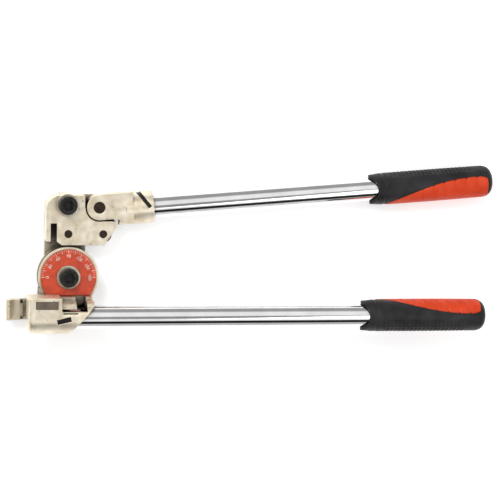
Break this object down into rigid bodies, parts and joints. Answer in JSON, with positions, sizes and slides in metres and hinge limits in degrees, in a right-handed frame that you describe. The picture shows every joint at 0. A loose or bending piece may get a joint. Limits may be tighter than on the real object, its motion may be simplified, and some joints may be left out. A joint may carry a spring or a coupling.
{
  "type": "manual tube bender",
  "caption": "Two-handled lever tube bender with a grooved mandrel and dial, a roller head that swings round it, a hinged bending handle and a tube latch.",
  "frame": {"origin": "on the pivot axis, in the middle plane of the mandrel's tube groove", "axes": "+X along the handles, +Y from the mandrel towards the roller head at rest, +Z out of the dial"},
  "size_m": [0.4101, 0.1381, 0.057],
  "materials": {
    "cast_nickel": "satin nickel-plated casting",
    "chrome_tube": "bright chrome plate",
    "black_oxide": "black oxide",
    "dial_red": "red-orange enamel with white marks",
    "grip_black": "matt soft grip",
    "grip_red": "matt soft grip",
    "bronze": "oiled bronze",
    "steel": "ground steel",
    "plate_brown": "dark blank plate",
    "plug_plastic": "moulded plug"
  },
  "bodies": {
    "frame": {"mandrel": "cast_nickel", "dial_plate": "dial_red", "pivot_washer": "cast_nickel", "pivot_screw": "black_oxide", "pivot_nut": "black_oxide", "block_plate": "plate_brown", "latch_pin": "steel", "mandrel_handle_tube": "chrome_tube", "mandrel_handle_plug": "plug_plastic", "mandrel_handle_grip": "grip_black", "mandrel_handle_grip_inlay": "grip_red", "mandrel_handle_wedge": "plug_plastic"},
    "latch": {"latch_hook": "cast_nickel"},
    "roller_carrier": {"roller_head": "cast_nickel", "pivot_bush": "bronze", "head_screw": "black_oxide", "head_screw_nut": "black_oxide", "roller_one_pin": "steel", "roller_two_pin": "steel", "retaining_rings": "steel", "hinge_pin": "steel"},
    "first_roller": {"roller_one": "steel", "roller_one_bush": "bronze"},
    "second_roller": {"roller_two": "steel", "roller_two_bush": "bronze"},
    "bending_handle": {"bending_handle_head": "cast_nickel", "bending_handle_tube": "chrome_tube", "bending_handle_plug": "plug_plastic", "bending_handle_grip": "grip_black", "bending_handle_grip_inlay": "grip_red", "bending_handle_wedge": "plug_plastic"}
  },
  "joints": [
    {"name": "head_swing", "type": "hinge", "parent": "frame", "child": "roller_carrier", "pos_m": [0, 0, 0], "axis": [0, 0, 1], "range_deg": [-90, 90]},
    {"name": "handle_lift", "type": "hinge", "parent": "roller_carrier", "child": "bending_handle", "pos_m": [0.0246, 0.0572, 0], "axis": [0, 0, 1], "range_deg": [0, 90]},
    {"name": "latch_turn", "type": "hinge", "parent": "frame", "child": "latch", "pos_m": [-0.035, -0.0276, -0.007], "axis": [0, 1, 0], "range_deg": [0, 90]},
    {"name": "first_roller_spin", "type": "hinge", "parent": "roller_carrier", "child": "first_roller", "pos_m": [-0.0006, 0.0355, 0], "axis": [0, 0, 1], "continuous": true},
    {"name": "second_roller_spin", "type": "hinge", "parent": "roller_carrier", "child": "second_roller", "pos_m": [0.0279, 0.0355, 0], "axis": [0, 0, 1], "continuous": true}
  ]
}
